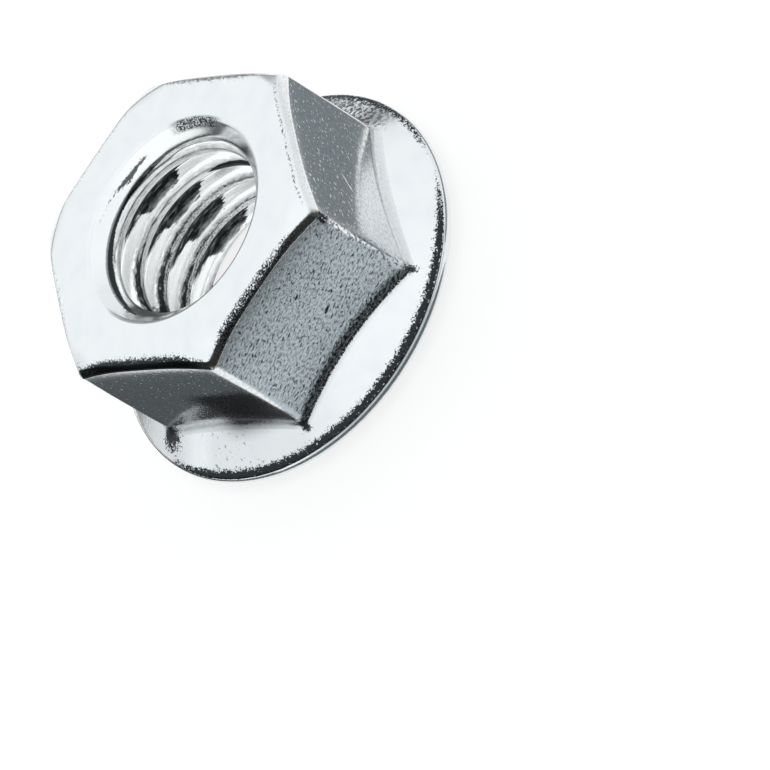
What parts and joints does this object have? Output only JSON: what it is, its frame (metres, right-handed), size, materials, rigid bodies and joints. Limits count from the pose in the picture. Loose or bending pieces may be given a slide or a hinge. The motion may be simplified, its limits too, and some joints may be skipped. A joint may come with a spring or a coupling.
{
  "type": "serrated flange nut",
  "caption": "One-piece hexagon nut with a sloping round flange, one-way serrations on its bearing face and a right-hand threaded bore.",
  "frame": {"origin": "on the thread's axis, in the plane of the serration tips that the nut rests on", "axes": "+Z along the thread's axis, from the serrated bearing face to the top face; +X through a corner of the hexagon"},
  "size_m": [0.0188, 0.0188, 0.0087],
  "materials": {
    "zinc_plate": "bright zinc plating over cold-forged steel"
  },
  "bodies": {
    "root": {"flange_nut": "zinc_plate"}
  },
  "joints": []
}
